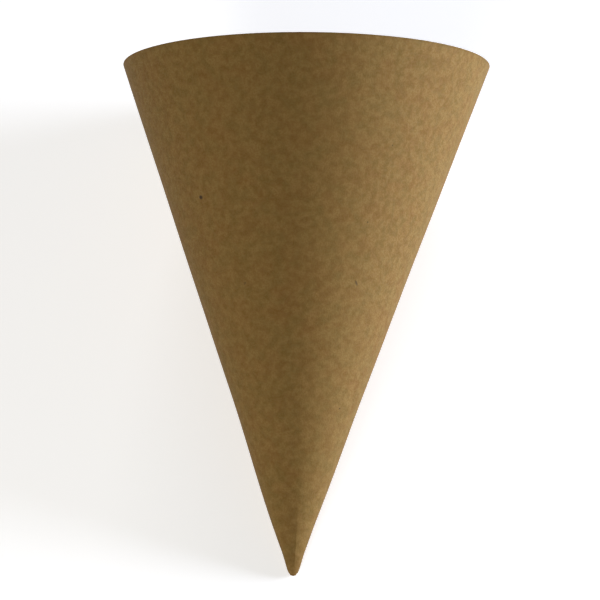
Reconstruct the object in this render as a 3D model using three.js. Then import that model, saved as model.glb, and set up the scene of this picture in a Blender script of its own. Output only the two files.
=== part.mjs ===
// A chip cone: one sector of kraft board, rolled to a cone and glued along one lap.
//
// Millimetres, +Z up. The board is described upright, with the cone's apex at the
// origin, its axis on +Z and its plain front towards -Y. A group then lays it down
// on its lap, tip towards -Y and mouth towards +Y, with the plain front on top.

import * as THREE from 'three';
import { LoftGeometry } from 'three/addons/geometries/LoftGeometry.js';

// The blank, a sector cut from flat board
const BLANK_RADIUS = 195; // from the apex to the rim, along the board
const WRAP_ANGLE = 121.5; // degrees of the blank that make one turn of the cone
const BOARD = 0.4; // thickness of the board
const RIM_SKEW = 1.5; // how much longer the blank is at the right side than at the axis

// The glued lap, down the middle of the back
const LAP_ANGLE = 5; // degrees of the blank that lie double
const RAMP_ANGLE = 1.4; // degrees of the blank in which the outer layer climbs the inner
const CUT_LEAN = 0.1; // how far the foot of a cut edge stands out from its top
const CUT_SHARE = 0.25; // the most of the ramp that a cut edge takes up, near the tip
const LAP_START = 5; // from the apex to where the second layer begins
const LAP_FULL = 13; // from the apex to where it is whole

// The rounded tip
const TIP_CUT = 0.85; // from the apex to the rounded tip, along the axis
const TIP_ROUND = 1.35; // reach of the tip's rounding, out from the axis
const TIP_LENGTH = 10; // from the apex to where the side is straight
const TIP_EASE = 4; // reach of the rounding back along the straight side

// The lower part, which keeps the set of its rolling: a little wide, bent and hooked
const WIDENING = 0.65; // how much further it stands out at the sides
const WIDENING_FADE = 26; // height where the widening begins to fade
const WIDENING_END = 66; // and where the cone is round
const BEND = 0.3; // how far it is bent to the right
const BEND_FADE = 40; // height where the bend begins to fade
const BEND_END = 120; // and where the axis is straight
const HOOK = 0.45; // how much further the very tip turns to the right
const HOOK_END = 22; // height where the hook begins

// The crease up the front of the tip
const CREASE_AZIMUTH = 10; // degrees round from the middle of the front
const CREASE_HEIGHT = 0.32; // how far its ridge stands out
const CREASE_SPREAD = 20; // degrees over which the ridge falls away
const CREASE_START = 2; // from the apex, where the ridge begins to rise
const CREASE_TOP = 9; // where it is highest
const CREASE_FADE = 16; // where it begins to fade
const CREASE_END = 34; // where it is gone

// How finely the curves are divided
const ARC_STEP = 5; // degrees between points round the cone
const TIP_STEPS = 6;
const SIDE_STEPS = 11;
const LAP_STEPS = 4;
const RAMP_STEPS = 3;

const { degToRad, lerp, smoothstep } = THREE.MathUtils;

// Angles in the rolled cone. A degree of the blank is a few degrees round the cone.
const turnsPerBlank = 360 / WRAP_ANGLE;
const halfAngle = Math.asin(WRAP_ANGLE / 360);
const lapHalf = degToRad(LAP_ANGLE * turnsPerBlank) / 2;
const ramp = degToRad(RAMP_ANGLE * turnsPerBlank);
const creaseAzimuth = degToRad(CREASE_AZIMUTH);
const back = Math.PI;
const fullTurn = 2 * Math.PI;

// The stiff double lap lies flat, a little nearer the axis than the round wall.
const lapSlope = Math.atan(Math.tan(halfAngle) * Math.cos(lapHalf));

// The middle of the board in the plane of the axis, from the tip to the straight side:
// x is the distance from the axis and y the height.
function tipCurve() {
  const side = new THREE.Vector2(Math.sin(halfAngle), Math.cos(halfAngle));
  const pole = new THREE.Vector2(0, TIP_CUT);
  const shoulder = new THREE.Vector2(TIP_ROUND, TIP_CUT);
  const join = side.clone().multiplyScalar(TIP_LENGTH);
  const approach = side.clone().multiplyScalar(TIP_LENGTH - TIP_EASE);
  return new THREE.CubicBezierCurve(pole, shoulder, approach, join);
}

// A level is one height of the board: its radius and height at the middle of the
// board, and the normal out of the board there.
function makeLevel(point, tangent) {
  const slant = point.length();
  return {
    radius: point.x,
    height: point.y,
    slant,
    normal: new THREE.Vector2(tangent.y, -tangent.x),
    lap: smoothstep(slant, LAP_START, LAP_FULL),
  };
}

function tipLevels() {
  const curve = tipCurve();
  const levels = [];
  for (let step = 0; step < TIP_STEPS; step++) {
    const along = step / TIP_STEPS;
    levels.push(makeLevel(curve.getPoint(along), curve.getTangent(along)));
  }
  return levels;
}

// The straight side, in levels that grow apart as the cone widens.
function sideLevels() {
  const side = new THREE.Vector2(Math.sin(halfAngle), Math.cos(halfAngle));
  const levels = [];
  for (let step = 0; step <= SIDE_STEPS; step++) {
    const slant = TIP_LENGTH * (BLANK_RADIUS / TIP_LENGTH) ** (step / SIDE_STEPS);
    levels.push(makeLevel(side.clone().multiplyScalar(slant), side));
  }
  return levels;
}

// A station is one direction round the cone, counted from the front to the right:
// climb is how much of one board the outer face stands out there, and lift how much
// of one board the inner face does.
function arcStations(from, to) {
  const count = Math.ceil((to - from) / degToRad(ARC_STEP));
  const stations = [];
  for (let step = 0; step < count; step++) {
    const azimuth = lerp(from, to, step / count);
    stations.push({ azimuth, climb: 0, lift: 0 });
  }
  return stations;
}

function lapStations() {
  const stations = [];
  for (let step = 0; step <= LAP_STEPS; step++) {
    const azimuth = lerp(back - lapHalf, back + lapHalf, step / LAP_STEPS);
    stations.push({ azimuth, climb: 1, lift: 0 });
  }
  return stations;
}

// Past the inner cut edge both faces come down together to the single board.
function rampStations(cutEdge) {
  const from = back + lapHalf + cutEdge;
  const to = back + lapHalf + ramp;
  const stations = [];
  for (let step = 0; step < RAMP_STEPS; step++) {
    const share = step / RAMP_STEPS;
    const drop = 1 - smoothstep(share, 0, 1);
    stations.push({ azimuth: lerp(from, to, share), climb: drop, lift: drop });
  }
  return stations;
}

// All stations at one level. A cut edge has a fixed width in millimetres, so its
// angle grows towards the tip, up to its share of the ramp.
function stationsAt(level) {
  const cutEdge = Math.min(CUT_LEAN / level.radius, ramp * CUT_SHARE);
  const lapStart = back - lapHalf;
  const rampEnd = back + lapHalf + ramp;
  const foot = { azimuth: lapStart - cutEdge, climb: 0, lift: 0 };
  return [
    ...arcStations(creaseAzimuth, foot.azimuth),
    foot,
    ...lapStations(),
    ...rampStations(cutEdge),
    ...arcStations(rampEnd, creaseAzimuth + fullTurn),
  ];
}

// How far the crease lifts the board at a level and a direction.
function creaseLift(level, azimuth) {
  const rise = smoothstep(level.slant, CREASE_START, CREASE_TOP);
  const fade = 1 - smoothstep(level.slant, CREASE_FADE, CREASE_END);
  const turned = Math.abs(azimuth - creaseAzimuth);
  const away = Math.min(turned, fullTurn - turned) / degToRad(CREASE_SPREAD);
  return CREASE_HEIGHT * rise * fade * Math.exp(-away);
}

// The middle of the board and its outward normal, on the round wall or on the flat lap,
// where only the outer face stands out.
function boardAt(level, { azimuth, climb, lift }) {
  const sine = Math.sin(azimuth);
  const cosine = Math.cos(azimuth);
  const onLap = climb > lift;
  const flat = onLap ? level.lap : 0;
  const chord = onLap ? Math.cos(lapHalf) / Math.cos(azimuth - back) : 1;
  const radius = (level.radius + creaseLift(level, azimuth)) * lerp(1, chord, flat);
  const round = new THREE.Vector3(
    level.normal.x * sine,
    -level.normal.x * cosine,
    level.normal.y
  );
  const lapNormal = new THREE.Vector3(0, level.normal.x, level.normal.y * Math.cos(lapHalf));
  return {
    middle: new THREE.Vector3(radius * sine, -radius * cosine, level.height),
    normal: round.lerp(lapNormal.normalize(), flat).normalize(),
  };
}

// How far the axis has moved to the right at a height.
function sidewaysAt(height) {
  const bend = BEND * (1 - smoothstep(height, BEND_FADE, BEND_END));
  const hook = HOOK * (1 - smoothstep(height, 0, HOOK_END));
  return bend + hook;
}

// The lower part is wider than it is deep, and stands to the right of the axis.
function shapeLower(point, level) {
  const fade = 1 - smoothstep(level.height, WIDENING_FADE, WIDENING_END);
  const widening = WIDENING * fade / (level.radius + WIDENING);
  point.x = point.x * (1 + widening) + sidewaysAt(level.height);
  return point;
}

// One section of the board's outer face (side 1) or inner face (side -1).
function section(level, side) {
  return stationsAt(level).map((station) => {
    const { middle, normal } = boardAt(level, station);
    const stretch = level.atRim ? RIM_SKEW * Math.sin(station.azimuth) / BLANK_RADIUS : 0;
    const extra = side > 0 ? station.climb : station.lift;
    middle.multiplyScalar(1 + stretch);
    middle.addScaledVector(normal, BOARD * (side / 2 + extra * level.lap));
    return shapeLower(middle, level);
  });
}

// A face closes at the tip in one point.
function poleSection(side, count) {
  const pole = new THREE.Vector3(sidewaysAt(TIP_CUT), 0, TIP_CUT - side * BOARD / 2);
  return Array.from({ length: count }, () => pole.clone());
}

// Up the outer face from the tip, over the cut rim, and down the inner face again.
function boardGeometry() {
  const [, ...levels] = [...tipLevels(), ...sideLevels()];
  levels.at(-1).atRim = true;
  const outer = levels.map((level) => section(level, 1));
  const inner = levels.map((level) => section(level, -1)).reverse();
  const count = outer[0].length;
  return new LoftGeometry([
    poleSection(1, count),
    ...outer,
    ...inner,
    poleSection(-1, count),
  ]);
}

function kraftBoard() {
  return new THREE.MeshStandardMaterial({
    name: 'kraft_board',
    color: 0xa88757,
    roughness: 0.86,
    metalness: 0,
  });
}

function chipCone() {
  const mesh = new THREE.Mesh(boardGeometry(), kraftBoard());
  mesh.name = 'chip_cone';
  return mesh;
}

// Lay the cone on its lap, with its lowest face at z = 0 and its middle over the origin.
function layDown(mesh) {
  const laid = new THREE.Group();
  laid.add(mesh);
  laid.rotation.x = lapSlope - Math.PI / 2;
  const box = new THREE.Box3().setFromObject(laid, true);
  const middle = box.getCenter(new THREE.Vector3());
  laid.position.set(-middle.x, -middle.y, -box.min.z);
  return laid;
}

const group = new THREE.Group();
group.add(layDown(chipCone()));

export default group;
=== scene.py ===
"""A chip cone of kraft board, rolled from one blank, lying on its glued lap.

Metres. The board is described upright, with the cone's apex at the origin, its axis on +Z
and its plain front towards -Y. It is then laid down on its lap, with the front on top.
"""

import math

import bpy
from mathutils import Matrix, Vector, noise


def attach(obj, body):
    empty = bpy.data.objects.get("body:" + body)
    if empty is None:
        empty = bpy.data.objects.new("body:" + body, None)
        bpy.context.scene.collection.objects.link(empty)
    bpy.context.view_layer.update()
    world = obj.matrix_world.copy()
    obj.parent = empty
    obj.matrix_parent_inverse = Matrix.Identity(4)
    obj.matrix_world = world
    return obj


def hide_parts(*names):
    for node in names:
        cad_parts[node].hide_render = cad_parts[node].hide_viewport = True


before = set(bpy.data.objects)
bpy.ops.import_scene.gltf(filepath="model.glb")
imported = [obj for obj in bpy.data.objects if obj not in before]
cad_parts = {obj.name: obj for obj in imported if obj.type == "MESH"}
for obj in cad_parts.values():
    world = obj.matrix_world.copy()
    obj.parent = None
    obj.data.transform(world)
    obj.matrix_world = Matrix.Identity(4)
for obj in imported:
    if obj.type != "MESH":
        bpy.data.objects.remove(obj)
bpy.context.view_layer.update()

# The blank, a sector cut from flat board
BLANK_RADIUS = 0.195
WRAP_ANGLE = math.radians(121.5)
LAP_ANGLE = math.radians(5)
RAMP_ANGLE = math.radians(1.4)
BOARD = 0.0004
RIM_SKEW = 0.0015

# From the apex to where the lap's second layer begins and is whole, how much of its
# height the layer keeps below that, and how far apart the layers are
LAP_START = 0.005
LAP_FULL = 0.013
LAP_LEAST = 0.06
GLUE_GAP = 0.00002

# The rounded tip
TIP_CUT = 0.00085
TIP_ROUND = 0.00135
TIP_LENGTH = 0.010
TIP_EASE = 0.004

# The lower part is a little wide, bent and hooked, as it was rolled
WIDENING = 0.00065
WIDENING_FADE = 0.026
WIDENING_END = 0.066
BEND = 0.0003
BEND_FADE = 0.040
BEND_END = 0.120
HOOK = 0.00045
HOOK_END = 0.022

# The crease up the front of the tip
CREASE_AZIMUTH = math.radians(10)
CREASE_HEIGHT = 0.00032
CREASE_SPREAD = math.radians(20)
CREASE_START = 0.002
CREASE_TOP = 0.009
CREASE_FADE = 0.016
CREASE_END = 0.034

# Faint unevenness of the rolled board, which the flat lap doesn't have
WAVE_HEIGHT = 0.00010
WAVE_SIZE = 0.035
WAVE_EASE = math.radians(25)
WAVE_PLACE = Vector((3.1, 7.7, 1.3))

# How finely the board is divided, and a length and angle less than any of its steps
TIP_STEPS = 14
SIDE_STEPS = 58
TURN_STEPS = 300
HAIR = 1e-7

# Edges that turn less than this look smooth
SMOOTH_UNDER = math.radians(35)

# Angles in the rolled cone
TURN = 2 * math.pi
BACK = math.pi
ROLL = TURN / WRAP_ANGLE
HALF_ANGLE = math.asin(WRAP_ANGLE / TURN)
LAP_HALF = LAP_ANGLE * ROLL / 2
RAMP = RAMP_ANGLE * ROLL
TURN_AND_LAP = TURN + 2 * LAP_HALF
SIDE = Vector((math.sin(HALF_ANGLE), math.cos(HALF_ANGLE)))
LAP_SLOPE = math.atan(math.tan(HALF_ANGLE) * math.cos(LAP_HALF))
LAY_DOWN = Matrix.Rotation(LAP_SLOPE - math.pi / 2, 4, "X")

# The blank's map: how much of it one metre is, and where the apex is
MAP_SHARE = 1 / (2 * BLANK_RADIUS)
MAP_APEX = (0.5, 0, 0)


def deselect_all():
    if bpy.context.object and bpy.context.object.mode != "OBJECT":
        bpy.ops.object.mode_set(mode="OBJECT")
    bpy.ops.object.select_all(action="DESELECT")


def make_active(piece):
    deselect_all()
    piece.select_set(True)
    bpy.context.view_layer.objects.active = piece


def ease(value, low, high):
    """0 below low, 1 above high and smooth between them."""
    share = min(max((value - low) / (high - low), 0), 1)
    return share * share * (3 - 2 * share)


def angle_from(azimuth, middle):
    """How far an azimuth is from another, at most half a turn either way."""
    return (azimuth - middle + math.pi) % TURN - math.pi


def tip_point(along):
    """The board's middle as (radius, height), on a curve from the tip to the side."""
    controls = (
        Vector((0, TIP_CUT)),
        Vector((TIP_ROUND, TIP_CUT)),
        SIDE * (TIP_LENGTH - TIP_EASE),
        SIDE * TIP_LENGTH,
    )
    rest = 1 - along
    weights = (rest**3, 3 * rest**2 * along, 3 * rest * along**2, along**3)
    point = Vector((0, 0))
    for control, weight in zip(controls, weights):
        point += control * weight
    return point


def side_point(along):
    """The same up the straight side, in steps that grow as the cone widens."""
    return SIDE * TIP_LENGTH * (BLANK_RADIUS / TIP_LENGTH) ** along


def profile_points():
    tip = [tip_point(step / TIP_STEPS) for step in range(TIP_STEPS)]
    side = [side_point(step / SIDE_STEPS) for step in range(SIDE_STEPS + 1)]
    return tip + side


def profile_normals(points):
    """The outward normal at each point, from its neighbours."""
    normals = []
    for index in range(len(points)):
        before = points[max(index - 1, 0)]
        after = points[min(index + 1, len(points) - 1)]
        along = (after - before).normalized()
        normals.append(Vector((along.y, -along.x)))
    normals[0] = Vector((0, -1))
    return normals


def azimuth_of(turned):
    """Direction round the cone, from the front to the right, when the blank has turned."""
    return BACK + LAP_HALF - turned


def crease_lift(slant, azimuth):
    rise = ease(slant, CREASE_START, CREASE_TOP)
    fade = 1 - ease(slant, CREASE_FADE, CREASE_END)
    away = abs(angle_from(azimuth, CREASE_AZIMUTH))
    return CREASE_HEIGHT * rise * fade * math.exp(-away / CREASE_SPREAD)


def wave_lift(slant, azimuth):
    """Slow unevenness, the same for both layers of the lap, where it fades out."""
    from_back = abs(angle_from(azimuth, BACK))
    radius = slant * math.sin(HALF_ANGLE)
    place = Vector((math.sin(azimuth) * radius, math.cos(azimuth) * radius, slant))
    height = noise.noise(place / WAVE_SIZE + WAVE_PLACE)
    return WAVE_HEIGHT * height * ease(from_back, LAP_HALF, LAP_HALF + WAVE_EASE)


def sideways_at(height):
    """How far the axis has moved to the right."""
    bend = BEND * (1 - ease(height, BEND_FADE, BEND_END))
    hook = HOOK * (1 - ease(height, 0, HOOK_END))
    return bend + hook


def board_point(level, normal, turned, at_rim):
    """The middle of the board, upright, with the apex at the origin."""
    azimuth = azimuth_of(turned)
    sine, cosine = math.sin(azimuth), math.cos(azimuth)
    slant = level.length
    lap = ease(slant, LAP_START, LAP_FULL)
    from_back = angle_from(azimuth, BACK)
    on_lap = abs(from_back) < LAP_HALF + HAIR
    flat = lap if on_lap else 0
    chord = math.cos(LAP_HALF) / math.cos(from_back) if on_lap else 1
    radius = level.x + crease_lift(slant, azimuth) + wave_lift(slant, azimuth)
    radius *= 1 + (chord - 1) * flat
    middle = Vector((radius * sine, -radius * cosine, level.y))
    if at_rim:
        middle *= 1 + RIM_SKEW * sine / BLANK_RADIUS
    round_way = Vector((normal.x * sine, -normal.x * cosine, normal.y))
    lap_way = Vector((0, normal.x, normal.y * math.cos(LAP_HALF))).normalized()
    outward = round_way.lerp(lap_way, flat).normalized()
    climb = ease(turned, TURN - RAMP, TURN)
    middle += outward * climb * (BOARD + GLUE_GAP) * max(lap, LAP_LEAST)
    fade = 1 - ease(level.y, WIDENING_FADE, WIDENING_END)
    middle.x *= 1 + WIDENING * fade / (level.x + WIDENING)
    middle.x += sideways_at(level.y)
    return middle


def draw_profile(points):
    """One vertex at the tip, extruded point by point up to the rim."""
    start = azimuth_of(0)
    bpy.ops.mesh.primitive_plane_add(size=TIP_ROUND, calc_uvs=False)
    board = bpy.context.object
    bpy.ops.object.mode_set(mode="EDIT")
    bpy.ops.mesh.merge(type="CENTER")
    bpy.ops.transform.translate(value=(0, 0, points[0].y))
    for before, after in zip(points, points[1:]):
        out, up = after - before
        step = (out * math.sin(start), -out * math.cos(start), up)
        bpy.ops.mesh.extrude_vertices_move(TRANSFORM_OT_translate={"value": step})
    return board


def roll_blank(points):
    """The profile spun through one turn and the lap, as one open sheet."""
    deselect_all()
    board = draw_profile(points)
    bpy.ops.mesh.select_all(action="SELECT")
    bpy.ops.mesh.spin(
        steps=TURN_STEPS,
        angle=-TURN_AND_LAP,
        center=(0, 0, 0),
        axis=(0, 0, 1),
    )
    bpy.ops.object.mode_set(mode="OBJECT")
    return board


def map_blank(mesh, places):
    """A UV map of the flat blank, with its apex at the middle of the lower side."""
    layer = mesh.uv_layers.new(name="blank")
    for loop in mesh.loops:
        slant, turned = places[loop.vertex_index]
        angle = (turned - TURN_AND_LAP / 2) / ROLL
        across = slant * math.sin(angle) * MAP_SHARE
        up = slant * math.cos(angle) * MAP_SHARE
        layer.data[loop.index].uv = (MAP_APEX[0] + across, up)


def shape_board(board, points):
    """Each point of the spun sheet goes to its place in the lapped and creased cone."""
    normals = profile_normals(points)
    count = len(points)
    places = []
    for vertex in board.data.vertices:
        step, row = divmod(vertex.index, count)
        turned = step / TURN_STEPS * TURN_AND_LAP
        at_rim = row == count - 1
        vertex.co = board_point(points[row], normals[row], turned, at_rim)
        places.append((points[row].length, turned))
    map_blank(board.data, places)


def close_tip(board):
    """The ends of all the profiles become one point."""
    make_active(board)
    bpy.ops.object.mode_set(mode="EDIT")
    bpy.ops.mesh.select_all(action="DESELECT")
    bpy.ops.object.mode_set(mode="OBJECT")
    for vertex in board.data.vertices:
        vertex.select = vertex.co.z < TIP_CUT + HAIR
    bpy.ops.object.mode_set(mode="EDIT")
    bpy.ops.mesh.merge(type="CENTER")
    bpy.ops.mesh.select_all(action="SELECT")
    bpy.ops.mesh.normals_make_consistent(inside=False)
    bpy.ops.object.mode_set(mode="OBJECT")


def thicken(board):
    solidify = board.modifiers.new("board", "SOLIDIFY")
    solidify.thickness = BOARD
    solidify.offset = 0
    solidify.use_even_offset = False
    make_active(board)
    bpy.ops.object.modifier_apply(modifier=solidify.name)
    bpy.ops.object.shade_smooth_by_angle(angle=SMOOTH_UNDER)


def lay_down(board):
    """Onto its lap, with its lowest point on the floor and its middle over the origin."""
    board.data.transform(LAY_DOWN)
    low = [min(vertex.co[axis] for vertex in board.data.vertices) for axis in range(3)]
    high = [max(vertex.co[axis] for vertex in board.data.vertices) for axis in range(3)]
    seat = Vector((-(low[0] + high[0]) / 2, -(low[1] + high[1]) / 2, -low[2]))
    board.data.transform(Matrix.Translation(seat))
    return seat


def make_cone():
    """The cone, and how far its apex has moved."""
    points = profile_points()
    board = roll_blank(points)
    board.name = "kraft_cone"
    board.data.name = "kraft_cone"
    shape_board(board, points)
    close_tip(board)
    thicken(board)
    return board, lay_down(board)


# The board's colours
KRAFT = (0.156, 0.088, 0.0215)
KRAFT_DEEP = (0.117, 0.064, 0.014)
KRAFT_PALE = (0.238, 0.145, 0.045)
KRAFT_WARM = (0.163, 0.085, 0.020)
KRAFT_GREEN = (0.146, 0.097, 0.024)
BARK = (0.030, 0.018, 0.010)

# What lies over the plain board, in order: its part and mask, its strength and its colour
PAINTS = (
    ("mottle", "Hue", 0.6, KRAFT_GREEN),
    ("mottle", "Clumps", 0.48, KRAFT_PALE),
    ("mottle", "Grain", 0.40, KRAFT_DEEP),
    ("fibres", "Pale", 0.22, KRAFT_PALE),
    ("fibres", "Dark", 0.35, KRAFT_DEEP),
    # painted shade: the darker band along the cut rim
    ("rim", "Rim_shade", 0.45, KRAFT_DEEP),
    ("marks", "Marks", 0.92, BARK),
)

# The board's finish
SHINE = 0.2
ROUGH_LEAST = 0.75
ROUGH_MOST = 1.0
FIBRE_HEIGHT = 0.6
FUZZ_STRENGTH = 0.35
FUZZ_HEIGHT = 0.00006

# Strands of pulp on the blank's map: lean, how many across and how many along
STRANDS_PALE = ((0.35, 900, 120), (-0.5, 1100, 150))
STRANDS_DARK = (1.2, 800, 170)
STRAND_DETAIL = 2
STRAND_ROUGHNESS = 0.6
PALE_RANGE = (0.60, 0.78)
DARK_RANGE = (0.62, 0.80)

# Mottling: scale, detail, roughness and the range of the noise that shows
MOTTLES = (
    ("Clouds", 42, 3, 0.5, 0.30, 0.70),
    ("Clumps", 400, 3, 0.55, 0.38, 0.62),
    ("Grain", 1600, 2, 0.6, 0.35, 0.65),
    ("Hue", 150, 3, 0.6, 0.38, 0.62),
)

# Marks at known places: across and up the blank's map, lean, half length, half width, strength
MARKS = (
    (0.5993, 0.3428, 0.4, 0.00120, 0.00100, 1.0),
    (0.4468, 0.2744, 2.0, 0.00150, 0.00050, 0.70),
    (0.5500, 0.2718, 0.9, 0.00100, 0.00060, 0.40),
)
MARK_CORE = 0.35

# Sparse specks: cells in a metre, a speck's share of its cell, and of the cells with one
SPECK_CELLS = 130
SPECK_SIZE = 0.05
SPECK_CORE = SPECK_SIZE / 3
SPECK_SHARE = 0.10

# Width of the darker band painted along the cut rim, a painted shade of the board's edge
RIM_SHADE_WIDTH = 0.0009


def new_group(name, inputs, outputs):
    """A shader node group with its input and output nodes."""
    group = bpy.data.node_groups.new(name, "ShaderNodeTree")
    for label in inputs:
        group.interface.new_socket(label, in_out="INPUT", socket_type="NodeSocketVector")
    for label in outputs:
        group.interface.new_socket(label, in_out="OUTPUT", socket_type="NodeSocketFloat")
    return group, group.nodes.new("NodeGroupInput"), group.nodes.new("NodeGroupOutput")


def ramp_node(tree, source, low, high, least=0, most=1):
    """The least where the source is under low, the most over high."""
    node = tree.nodes.new("ShaderNodeMapRange")
    node.interpolation_type = "SMOOTHSTEP"
    node.inputs["From Min"].default_value = low
    node.inputs["From Max"].default_value = high
    node.inputs["To Min"].default_value = least
    node.inputs["To Max"].default_value = most
    tree.links.new(source, node.inputs["Value"])
    return node.outputs["Result"]


def math_node(tree, operation, first, second):
    node = tree.nodes.new("ShaderNodeMath")
    node.operation = operation
    for socket, value in zip(node.inputs, (first, second)):
        if isinstance(value, (int, float)):
            socket.default_value = value
        else:
            tree.links.new(value, socket)
    return node.outputs["Value"]


def vector_node(tree, operation, first, second):
    node = tree.nodes.new("ShaderNodeVectorMath")
    node.operation = operation
    tree.links.new(first, node.inputs[0])
    node.inputs[1].default_value = second
    return node.outputs["Vector"]


def length_node(tree, vector):
    node = tree.nodes.new("ShaderNodeVectorMath")
    node.operation = "LENGTH"
    tree.links.new(vector, node.inputs[0])
    return node.outputs["Value"]


def noise_node(tree, vector, scale, detail, roughness):
    node = tree.nodes.new("ShaderNodeTexNoise")
    node.inputs["Scale"].default_value = scale
    node.inputs["Detail"].default_value = detail
    node.inputs["Roughness"].default_value = roughness
    tree.links.new(vector, node.inputs["Vector"])
    return node.outputs["Fac"]


def stretched(tree, vector, lean, scale):
    """The vector turned and stretched, so that a pattern on it becomes strands."""
    node = tree.nodes.new("ShaderNodeMapping")
    node.inputs["Rotation"].default_value = (0, 0, lean)
    node.inputs["Scale"].default_value = scale
    tree.links.new(vector, node.inputs["Vector"])
    return node.outputs["Vector"]


def mix_colour(tree, factor, first, second):
    node = tree.nodes.new("ShaderNodeMix")
    node.data_type = "RGBA"
    sockets = [socket for socket in node.inputs if socket.enabled]
    for socket, value in zip(sockets, (factor, first, second)):
        if isinstance(value, tuple):
            socket.default_value = (*value, 1)
        else:
            tree.links.new(value, socket)
    return next(socket for socket in node.outputs if socket.enabled)


def strand_noise(tree, sheet, strands):
    lean, across, along = strands
    way = stretched(tree, sheet, lean, (across, along, 1))
    return noise_node(tree, way, 1, STRAND_DETAIL, STRAND_ROUGHNESS)


def fibre_group():
    """Strands of pulp lying flat in the board: pale ones, dark ones and their height."""
    group, inside, outside = new_group("pulp_fibres", ["Sheet"], ["Pale", "Dark", "Height"])
    sheet = inside.outputs["Sheet"]
    first, second = (strand_noise(group, sheet, strands) for strands in STRANDS_PALE)
    pale = math_node(group, "MAXIMUM", first, second)
    pale = ramp_node(group, pale, *PALE_RANGE)
    dark = ramp_node(group, strand_noise(group, sheet, STRANDS_DARK), *DARK_RANGE)
    group.links.new(pale, outside.inputs["Pale"])
    group.links.new(dark, outside.inputs["Dark"])
    group.links.new(math_node(group, "SUBTRACT", pale, dark), outside.inputs["Height"])
    return group


def mottle_group():
    """Clouds, clumps and grain of the pulp: how pale the board is from place to place."""
    labels = [mottle[0] for mottle in MOTTLES]
    group, inside, outside = new_group("pulp_mottle", ["Place"], labels)
    for label, scale, detail, roughness, low, high in MOTTLES:
        cloud = noise_node(group, inside.outputs["Place"], scale, detail, roughness)
        group.links.new(ramp_node(group, cloud, low, high), outside.inputs[label])
    return group


def one_mark(tree, sheet, mark):
    """A fibre or speck at its own place on the blank: 1 inside it and 0 outside."""
    across, up, lean, length, width, strength = mark
    away = vector_node(tree, "SUBTRACT", sheet, (across, up, 0))
    turned = stretched(tree, away, lean, (1, 1, 1))
    size = (1 / (length * MAP_SHARE), 1 / (width * MAP_SHARE), 0)
    reach = length_node(tree, vector_node(tree, "MULTIPLY", turned, size))
    return math_node(tree, "MULTIPLY", ramp_node(tree, reach, 1, MARK_CORE), strength)


def sparse_specks(tree, place):
    """One speck in some of the cells that fill space, each as dark as chance has it."""
    cells = tree.nodes.new("ShaderNodeTexVoronoi")
    cells.inputs["Scale"].default_value = SPECK_CELLS
    tree.links.new(place, cells.inputs["Vector"])
    chance = tree.nodes.new("ShaderNodeSeparateColor")
    tree.links.new(cells.outputs["Color"], chance.inputs["Color"])
    near = ramp_node(tree, cells.outputs["Distance"], SPECK_SIZE, SPECK_CORE)
    picked = math_node(tree, "GREATER_THAN", chance.outputs["Red"], 1 - SPECK_SHARE)
    specks = math_node(tree, "MULTIPLY", near, picked)
    return math_node(tree, "MULTIPLY", specks, chance.outputs["Green"])


def mark_group():
    """Dark fibres and specks of bark: a few at known places and sparse ones all over."""
    group, inside, outside = new_group("bark_marks", ["Place", "Sheet"], ["Marks"])
    marks = sparse_specks(group, inside.outputs["Place"])
    for mark in MARKS:
        known = one_mark(group, inside.outputs["Sheet"], mark)
        marks = math_node(group, "MAXIMUM", marks, known)
    group.links.new(marks, outside.inputs["Marks"])
    return group


def rim_shade_group():
    """How near the board is to its cut rim, where a darker band of painted shade lies."""
    group, inside, outside = new_group("painted_rim_shade", ["Sheet"], ["Rim_shade"])
    away = vector_node(group, "SUBTRACT", inside.outputs["Sheet"], MAP_APEX)
    rim = BLANK_RADIUS * MAP_SHARE
    start = rim - RIM_SHADE_WIDTH * MAP_SHARE
    near = ramp_node(group, length_node(group, away), start, rim)
    group.links.new(near, outside.inputs["Rim_shade"])
    return group


def placed(tree, group, vectors):
    """A group's outputs in a material, for the vectors that its inputs name."""
    node = tree.nodes.new("ShaderNodeGroup")
    node.node_tree = group
    for socket in node.inputs:
        tree.links.new(vectors[socket.name], socket)
    return node.outputs


def kraft_material():
    material = bpy.data.materials.new("kraft_board")
    material.use_nodes = True
    tree = material.node_tree
    shader = tree.nodes["Principled BSDF"]
    shader.inputs["Specular IOR Level"].default_value = SHINE
    coords = tree.nodes.new("ShaderNodeTexCoord")
    vectors = {"Place": coords.outputs["Object"], "Sheet": coords.outputs["UV"]}
    parts = {
        "fibres": placed(tree, fibre_group(), vectors),
        "mottle": placed(tree, mottle_group(), vectors),
        "marks": placed(tree, mark_group(), vectors),
        "rim": placed(tree, rim_shade_group(), vectors),
    }
    colour = mix_colour(tree, parts["mottle"]["Clouds"], KRAFT_WARM, KRAFT)
    for part, mask, strength, paint in PAINTS:
        share = math_node(tree, "MULTIPLY", parts[part][mask], strength)
        colour = mix_colour(tree, share, colour, paint)
    tree.links.new(colour, shader.inputs["Base Color"])
    grain = parts["mottle"]["Grain"]
    rough = ramp_node(tree, grain, 0, 1, ROUGH_LEAST, ROUGH_MOST)
    tree.links.new(rough, shader.inputs["Roughness"])
    strands = math_node(tree, "MULTIPLY", parts["fibres"]["Height"], FIBRE_HEIGHT)
    fuzz = tree.nodes.new("ShaderNodeBump")
    fuzz.inputs["Strength"].default_value = FUZZ_STRENGTH
    fuzz.inputs["Distance"].default_value = FUZZ_HEIGHT
    tree.links.new(math_node(tree, "ADD", strands, grain), fuzz.inputs["Height"])
    tree.links.new(fuzz.outputs["Normal"], shader.inputs["Normal"])
    return material


# The camera stands where the photograph was taken from
CAMERA_DISTANCE = 0.975
CAMERA_UNDER = math.radians(5.497)
CAMERA_ROLL = math.radians(1.588)
CAMERA_AIM = Vector((0.00050, 0, 0.0991))
FOCAL_PIXELS = 2722
FRAME_PIXELS = 600
SENSOR_MM = 36


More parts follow.
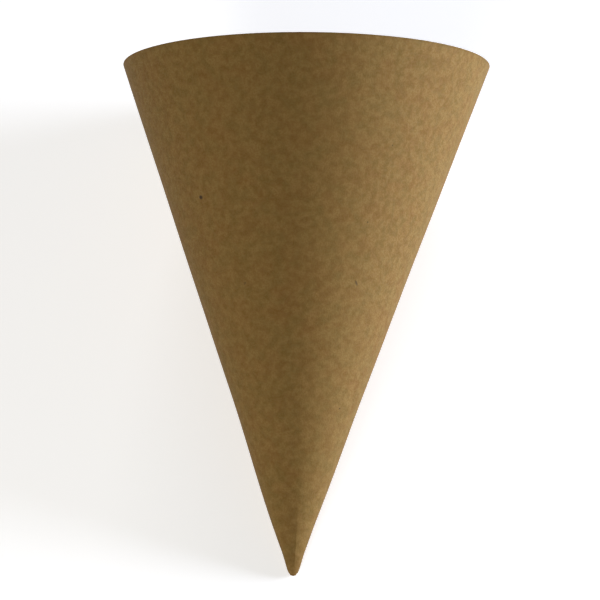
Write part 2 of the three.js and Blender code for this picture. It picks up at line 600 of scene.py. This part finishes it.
def add_camera(seat):
    """It looks at a point on the cone's axis, from just under the plane of the mouth."""
    back = Vector((0, -math.cos(CAMERA_UNDER), -math.sin(CAMERA_UNDER)))
    place = LAY_DOWN @ (CAMERA_AIM + back * CAMERA_DISTANCE) + seat
    away = (LAY_DOWN.to_3x3() @ back).normalized()
    right = Vector((0, 0, 1)).cross(away).normalized()
    up = away.cross(right)
    turned = Matrix((right, up, away)).transposed() @ Matrix.Rotation(CAMERA_ROLL, 3, "Z")
    data = bpy.data.cameras.new("photo_camera")
    data.sensor_width = SENSOR_MM
    data.lens = FOCAL_PIXELS * SENSOR_MM / FRAME_PIXELS
    camera = bpy.data.objects.new("photo_camera", data)
    camera.matrix_world = Matrix.Translation(place) @ turned.to_4x4()
    bpy.context.scene.collection.objects.link(camera)
    bpy.context.scene.camera = camera


# Soft lights: name, direction round and height in degrees, distance, width, watts, colour
LIGHTS = (
    ("key_right", 83, 7, 1.2, 0.6, 34.0, (0.95, 1.0, 1.15)),
    ("front_left", -160, 21, 1.2, 0.6, 10.6, (1.0, 0.96, 0.88)),
    ("mouth", -12, 13, 1.3, 0.6, 10.0, (1.0, 1.0, 1.0)),
)

# The floor, and how bright the studio's walls look and how much light they give
WHITE = (1, 1, 1, 1)
FLOOR_SIZE = 8
FLOOR_PALE = (0.86, 0.86, 0.86, 1)
FLOOR_ROUGHNESS = 0.9
FLOOR_GLOW = 0.5
WALLS_SEEN = 0.85
WALLS_LIGHT = 0.03


def add_light(name, around, height, distance, width, watts, colour):
    """around is counted from +Y, behind the mouth, towards +X, the right."""
    around, height = math.radians(around), math.radians(height)
    flat = math.cos(height)
    way = Vector((math.sin(around) * flat, math.cos(around) * flat, math.sin(height)))
    data = bpy.data.lights.new(name, "AREA")
    data.shape = "DISK"
    data.size = width
    data.energy = watts
    data.color = colour
    light = bpy.data.objects.new(name, data)
    light.location = way * distance
    light.rotation_euler = way.to_track_quat("Z", "Y").to_euler()
    bpy.context.scene.collection.objects.link(light)


def make_floor():
    deselect_all()
    bpy.ops.mesh.primitive_plane_add(size=FLOOR_SIZE)
    floor = bpy.context.object
    floor.name = "floor"
    material = bpy.data.materials.new("floor_pale")
    material.use_nodes = True
    shader = material.node_tree.nodes["Principled BSDF"]
    shader.inputs["Base Color"].default_value = FLOOR_PALE
    shader.inputs["Roughness"].default_value = FLOOR_ROUGHNESS
    shader.inputs["Emission Color"].default_value = WHITE
    shader.inputs["Emission Strength"].default_value = FLOOR_GLOW
    floor.data.materials.append(material)
    return floor


def light_world():
    world = bpy.data.worlds.new("studio")
    world.use_nodes = True
    tree = world.node_tree
    walls = tree.nodes["Background"]
    walls.inputs["Color"].default_value = WHITE
    path = tree.nodes.new("ShaderNodeLightPath")
    seen = math_node(tree, "MULTIPLY", path.outputs["Is Camera Ray"], WALLS_SEEN)
    strength = math_node(tree, "MAXIMUM", seen, WALLS_LIGHT)
    tree.links.new(strength, walls.inputs["Strength"])
    bpy.context.scene.world = world
    bpy.context.scene.view_settings.view_transform = "Standard"


cone, seat = make_cone()
cone.data.materials.append(kraft_material())
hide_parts("chip_cone")
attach(cone, "root")
floor = make_floor()
light_world()
for light in LIGHTS:
    add_light(*light)
add_camera(seat)
